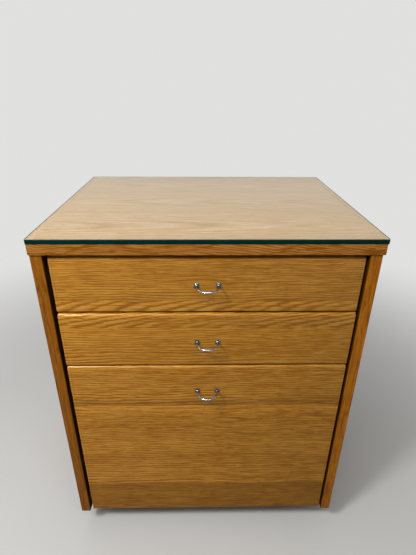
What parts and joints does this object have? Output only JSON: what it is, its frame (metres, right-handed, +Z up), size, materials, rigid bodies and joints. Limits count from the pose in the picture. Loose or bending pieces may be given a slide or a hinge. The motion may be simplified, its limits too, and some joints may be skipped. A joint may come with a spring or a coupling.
{
  "type": "rolling filing cabinet",
  "caption": "Under-desk filing cabinet in oak with two shallow drawers over a deep file drawer, bow handles, a glass plate on top and swivel casters.",
  "frame": {"origin": "on the floor, in the middle of the overall bounding box", "axes": "+X to the right as seen from the front, +Y from the drawer fronts to the back, +Z up"},
  "size_m": [0.5516, 0.4562, 0.692],
  "materials": {
    "oak": "satin clear varnish over honey-coloured oak veneer",
    "drawer_box_wood": "clear-sealed pale solid wood",
    "back_board": "thin smooth board",
    "glass": "clear float glass, polished edge, green when seen through the edge",
    "chrome": "bright chrome plate",
    "zinc_steel": "bright zinc-plated pressed steel",
    "rail_steel": "black enamelled flat steel",
    "wheel_plastic": "moulded black nylon"
  },
  "bodies": {
    "carcass": {"side_panel_left": "oak", "side_panel_right": "oak", "top_panel": "oak", "top_rail_front": "oak", "top_rail_rear": "oak", "glass_top": "glass", "back_panel": "back_board", "bottom_panel": "oak", "slide_1_cabinet_members": "zinc_steel", "slide_2_cabinet_members": "zinc_steel", "slide_3_cabinet_members": "zinc_steel", "carcass_screws": "zinc_steel", "caster_plates": "zinc_steel", "caster_screws": "zinc_steel"},
    "drawer_1": {"drawer_1_front": "oak", "drawer_1_box_side_left": "drawer_box_wood", "drawer_1_box_side_right": "drawer_box_wood", "drawer_1_box_front": "drawer_box_wood", "drawer_1_box_back": "drawer_box_wood", "drawer_1_box_floor": "back_board", "drawer_1_slide_screws": "zinc_steel", "drawer_1_handle": "chrome", "drawer_1_handle_screws": "zinc_steel", "slide_1_drawer_members": "zinc_steel"},
    "slide_1_middle": {"slide_1_middle_members": "zinc_steel"},
    "drawer_2": {"drawer_2_front": "oak", "drawer_2_box_side_left": "drawer_box_wood", "drawer_2_box_side_right": "drawer_box_wood", "drawer_2_box_front": "drawer_box_wood", "drawer_2_box_back": "drawer_box_wood", "drawer_2_box_floor": "back_board", "drawer_2_slide_screws": "zinc_steel", "drawer_2_handle": "chrome", "drawer_2_handle_screws": "zinc_steel", "slide_2_drawer_members": "zinc_steel"},
    "slide_2_middle": {"slide_2_middle_members": "zinc_steel"},
    "drawer_3": {"drawer_3_front": "oak", "drawer_3_box_side_left": "drawer_box_wood", "drawer_3_box_side_right": "drawer_box_wood", "drawer_3_box_front": "drawer_box_wood", "drawer_3_box_back": "drawer_box_wood", "drawer_3_box_floor": "back_board", "drawer_3_slide_screws": "zinc_steel", "drawer_3_handle": "chrome", "drawer_3_handle_screws": "zinc_steel", "drawer_3_file_rails": "rail_steel", "slide_3_drawer_members": "zinc_steel"},
    "slide_3_middle": {"slide_3_middle_members": "zinc_steel"},
    "caster_front_left": {"caster_front_left_fork": "zinc_steel", "caster_front_left_axle": "zinc_steel"},
    "caster_front_left_wheel": {"caster_front_left_wheel": "wheel_plastic"},
    "caster_front_right": {"caster_front_right_fork": "zinc_steel", "caster_front_right_axle": "zinc_steel"},
    "caster_front_right_wheel": {"caster_front_right_wheel": "wheel_plastic"},
    "caster_rear_left": {"caster_rear_left_fork": "zinc_steel", "caster_rear_left_axle": "zinc_steel"},
    "caster_rear_left_wheel": {"caster_rear_left_wheel": "wheel_plastic"},
    "caster_rear_right": {"caster_rear_right_fork": "zinc_steel", "caster_rear_right_axle": "zinc_steel"},
    "caster_rear_right_wheel": {"caster_rear_right_wheel": "wheel_plastic"}
  },
  "joints": [
    {"name": "drawer_1_slide", "type": "slide", "parent": "carcass", "child": "drawer_1", "axis": [0, -1, 0], "range_m": [0, 0.345]},
    {"name": "slide_1_middle_run", "type": "slide", "parent": "carcass", "child": "slide_1_middle", "axis": [0, -1, 0], "range_m": [0, 0.1725]},
    {"name": "drawer_2_slide", "type": "slide", "parent": "carcass", "child": "drawer_2", "axis": [0, -1, 0], "range_m": [0, 0.345]},
    {"name": "slide_2_middle_run", "type": "slide", "parent": "carcass", "child": "slide_2_middle", "axis": [0, -1, 0], "range_m": [0, 0.1725]},
    {"name": "drawer_3_slide", "type": "slide", "parent": "carcass", "child": "drawer_3", "axis": [0, -1, 0], "range_m": [0, 0.345]},
    {"name": "slide_3_middle_run", "type": "slide", "parent": "carcass", "child": "slide_3_middle", "axis": [0, -1, 0], "range_m": [0, 0.1725]},
    {"name": "caster_front_left_swivel", "type": "hinge", "parent": "carcass", "child": "caster_front_left", "pos_m": [-0.2134, -0.14993, 0.0572], "axis": [0, 0, 1], "continuous": true},
    {"name": "caster_front_left_roll", "type": "hinge", "parent": "caster_front_left", "child": "caster_front_left_wheel", "pos_m": [-0.2134, -0.13192, 0.025], "axis": [1, 0, 0], "continuous": true},
    {"name": "caster_front_right_swivel", "type": "hinge", "parent": "carcass", "child": "caster_front_right", "pos_m": [0.2106, -0.14993, 0.0572], "axis": [0, 0, 1], "continuous": true},
    {"name": "caster_front_right_roll", "type": "hinge", "parent": "caster_front_right", "child": "caster_front_right_wheel", "pos_m": [0.2106, -0.13192, 0.025], "axis": [1, 0, 0], "continuous": true},
    {"name": "caster_rear_left_swivel", "type": "hinge", "parent": "carcass", "child": "caster_rear_left", "pos_m": [-0.2134, 0.16407, 0.0572], "axis": [0, 0, 1], "continuous": true},
    {"name": "caster_rear_left_roll", "type": "hinge", "parent": "caster_rear_left", "child": "caster_rear_left_wheel", "pos_m": [-0.2134, 0.18207, 0.025], "axis": [1, 0, 0], "continuous": true},
    {"name": "caster_rear_right_swivel", "type": "hinge", "parent": "carcass", "child": "caster_rear_right", "pos_m": [0.2106, 0.16407, 0.0572], "axis": [0, 0, 1], "continuous": true},
    {"name": "caster_rear_right_roll", "type": "hinge", "parent": "caster_rear_right", "child": "caster_rear_right_wheel", "pos_m": [0.2106, 0.18207, 0.025], "axis": [1, 0, 0], "continuous": true}
  ],
  "couplings": [
    {"joint": "slide_1_middle_run", "follows": "drawer_1_slide", "ratio": 0.5},
    {"joint": "slide_2_middle_run", "follows": "drawer_2_slide", "ratio": 0.5},
    {"joint": "slide_3_middle_run", "follows": "drawer_3_slide", "ratio": 0.5}
  ]
}
